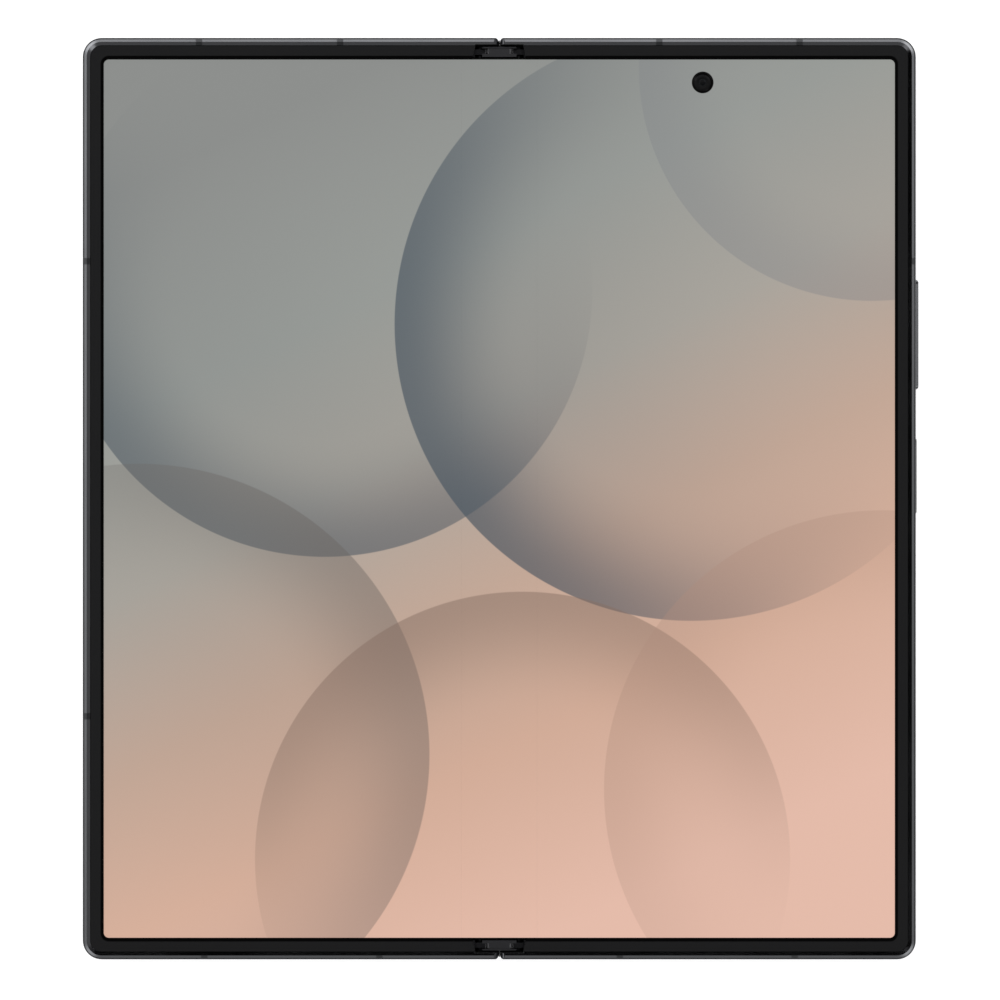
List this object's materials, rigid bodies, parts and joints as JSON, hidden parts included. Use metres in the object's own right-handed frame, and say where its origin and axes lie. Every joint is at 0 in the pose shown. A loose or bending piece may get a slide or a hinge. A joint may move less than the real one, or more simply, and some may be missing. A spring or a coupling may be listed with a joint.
{
  "type": "foldable smartphone",
  "caption": "Book-style foldable smartphone, open flat: two slim metal halves on a geared hinge, flexible inner screen, cover screen and raised camera island behind.",
  "frame": {"origin": "middle of the open phone, in the plane of the camera rings' faces, which is the lowest part of the back", "axes": "+Z out of the inner display, +Y towards the phone's top edge along the fold, +X towards the half with the keys"},
  "size_m": [0.1437, 0.1584, 0.0065],
  "materials": {
    "frame_aluminium": "fine blasted and anodised dark grey",
    "band_plastic": "dark grey moulded into the frame",
    "bezel_plastic": "black, fine satin",
    "inner_display": "clear polymer over a lit picture",
    "back_glass": "dark, etched satin",
    "cover_glass": "polished, black behind",
    "island_aluminium": "fine blasted and anodised dark grey",
    "ring_aluminium": "turned and anodised",
    "lens_glass": "coated and polished",
    "camera_black": "black barrel",
    "flash_plastic": "clear with a yellow lamp behind",
    "board_green": "solder resist",
    "shield_steel": "tinned sheet",
    "battery_foil": "laminated pouch",
    "coil_copper": "wound copper",
    "speaker_black": "moulded box",
    "hinge_steel": "machined and plated",
    "hinge_dark": "anodised dark grey",
    "plate_steel": "thin rolled sheet",
    "gear_brass": "cut and tumbled",
    "pin_steel": "ground",
    "cable_polyimide": "amber film over copper",
    "key_aluminium": "fine blasted and anodised dark grey",
    "magnet_nickel": "nickel plated"
  },
  "bodies": {
    "right_half": {"right_frame": "frame_aluminium", "right_antenna_bands": "band_plastic", "right_bezel": "bezel_plastic", "right_display_panel": "inner_display", "right_back_glass": "back_glass", "camera_island": "island_aluminium", "camera_rings": "ring_aluminium", "camera_windows": "lens_glass", "rear_cameras": "camera_black", "flash_lens": "flash_plastic", "main_board": "board_green", "board_shields": "shield_steel", "right_battery": "battery_foil", "charging_coil": "coil_copper", "sub_board": "board_green", "usb_socket": "shield_steel", "bottom_speaker": "speaker_black", "vibration_motor": "shield_steel", "inner_camera": "camera_black", "key_switches": "cable_polyimide", "right_end_arms": "hinge_steel", "right_crescent_arms": "hinge_steel", "right_magnets": "magnet_nickel", "right_screws": "pin_steel"},
    "spine": {"spine_cover": "hinge_dark", "end_brackets": "hinge_steel", "slide_blocks": "hinge_steel", "centre_plate": "plate_steel", "hinge_pins": "pin_steel", "idler_axles": "pin_steel", "friction_clips": "pin_steel", "display_fold_strip": "inner_display", "hinge_flex_cables": "cable_polyimide"},
    "left_half": {"left_frame": "frame_aluminium", "left_antenna_bands": "band_plastic", "left_bezel": "bezel_plastic", "left_display_panel": "inner_display", "cover_glass": "cover_glass", "cover_display": "camera_black", "left_battery": "battery_foil", "left_board": "board_green", "cover_camera": "camera_black", "earpiece": "speaker_black", "sim_reader": "shield_steel", "left_end_arms": "hinge_steel", "left_crescent_arms": "hinge_steel", "left_magnets": "magnet_nickel", "left_screws": "pin_steel"},
    "right_wing": {"right_wing_plate": "plate_steel"},
    "left_wing": {"left_wing_plate": "plate_steel"},
    "right_idlers": {"right_idler_gears": "gear_brass"},
    "left_idlers": {"left_idler_gears": "gear_brass"},
    "volume_key": {"volume_key": "key_aluminium"},
    "power_key": {"power_key": "key_aluminium"},
    "sim_tray": {"sim_tray": "key_aluminium"}
  },
  "joints": [
    {"name": "fold", "type": "hinge", "parent": "right_half", "child": "spine", "pos_m": [0.0016, 0, 0.00515], "axis": [0, 1, 0], "range_deg": [0, 90], "deforming": ["display_fold_strip", "hinge_flex_cables"]},
    {"name": "left_fold", "type": "hinge", "parent": "spine", "child": "left_half", "pos_m": [-0.0016, 0, 0.00515], "axis": [0, 1, 0], "range_deg": [0, 90]},
    {"name": "right_wing_tilt", "type": "hinge", "parent": "right_half", "child": "right_wing", "pos_m": [0.0066, 0, 0.00562], "axis": [0, 1, 0], "range_deg": [-26.6, 0]},
    {"name": "left_wing_tilt", "type": "hinge", "parent": "left_half", "child": "left_wing", "pos_m": [-0.0066, 0, 0.00562], "axis": [0, 1, 0], "range_deg": [0, 26.6]},
    {"name": "right_idler_spin", "type": "hinge", "parent": "spine", "child": "right_idlers", "pos_m": [0.0005, 0, 0.00446], "axis": [0, 1, 0], "range_deg": [0, 144]},
    {"name": "left_idler_spin", "type": "hinge", "parent": "spine", "child": "left_idlers", "pos_m": [-0.0005, 0, 0.00446], "axis": [0, 1, 0], "range_deg": [-144, 0]},
    {"name": "volume_rock", "type": "hinge", "parent": "right_half", "child": "volume_key", "pos_m": [0.0702, 0.02825, 0.0044], "axis": [0, 0, 1], "range_deg": [-1, 1], "stiffness_Nm_per_rad": 0.6},
    {"name": "power_press", "type": "slide", "parent": "right_half", "child": "power_key", "axis": [-1, 0, 0], "range_m": [0, 0.0002], "stiffness_N_per_m": 2500},
    {"name": "tray_slide", "type": "slide", "parent": "left_half", "child": "sim_tray", "axis": [0, -1, 0], "range_m": [0, 0.017]}
  ],
  "couplings": [
    {"joint": "left_fold", "follows": "fold", "ratio": 1},
    {"joint": "right_wing_tilt", "follows": "fold", "ratio": -0.29556},
    {"joint": "left_wing_tilt", "follows": "fold", "ratio": 0.29556},
    {"joint": "right_idler_spin", "follows": "fold", "ratio": 1.6},
    {"joint": "left_idler_spin", "follows": "fold", "ratio": -1.6}
  ]
}
